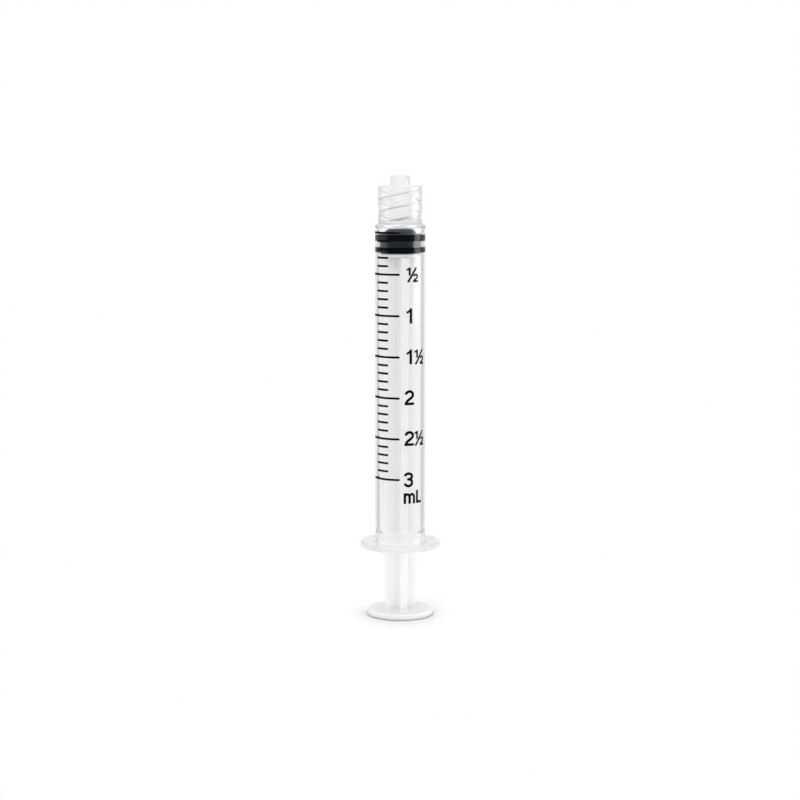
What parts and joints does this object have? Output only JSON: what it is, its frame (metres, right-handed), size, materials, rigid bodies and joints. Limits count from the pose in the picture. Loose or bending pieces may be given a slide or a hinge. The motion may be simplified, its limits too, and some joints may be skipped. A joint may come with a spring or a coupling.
{
  "type": "luer lock syringe",
  "caption": "Small hypodermic syringe with a clear barrel, a luer lock collar round a tapered tip, a rubber stopper and a cross-ribbed plunger.",
  "frame": {"origin": "centre of the thumb press's underside, which the syringe stands on", "axes": "+Z along the syringe's axis, from the thumb press to the luer tip; -Y is the side that the scale faces"},
  "size_m": [0.0164, 0.0164, 0.0901],
  "materials": {
    "clear_plastic": "clear moulded polypropylene, glossy",
    "black_rubber": "smooth moulded rubber with a thin film of silicone",
    "white_plastic": "natural polypropylene, milky and slightly see-through, satin",
    "black_ink": "opaque printing ink, satin"
  },
  "bodies": {
    "plunger_rod": {"plunger_rod": "white_plastic"},
    "stopper": {"stopper": "black_rubber"},
    "barrel": {"barrel": "clear_plastic", "scale_marks": "black_ink"}
  },
  "joints": [
    {"name": "rod_swivel", "type": "hinge", "parent": "plunger_rod", "child": "stopper", "pos_m": [0, 0, 0.0762], "axis": [0, 0, 1], "continuous": true},
    {"name": "plunger_slide", "type": "slide", "parent": "stopper", "child": "barrel", "axis": [0, 0, 1], "range_m": [-0.00025, 0.05665]}
  ]
}
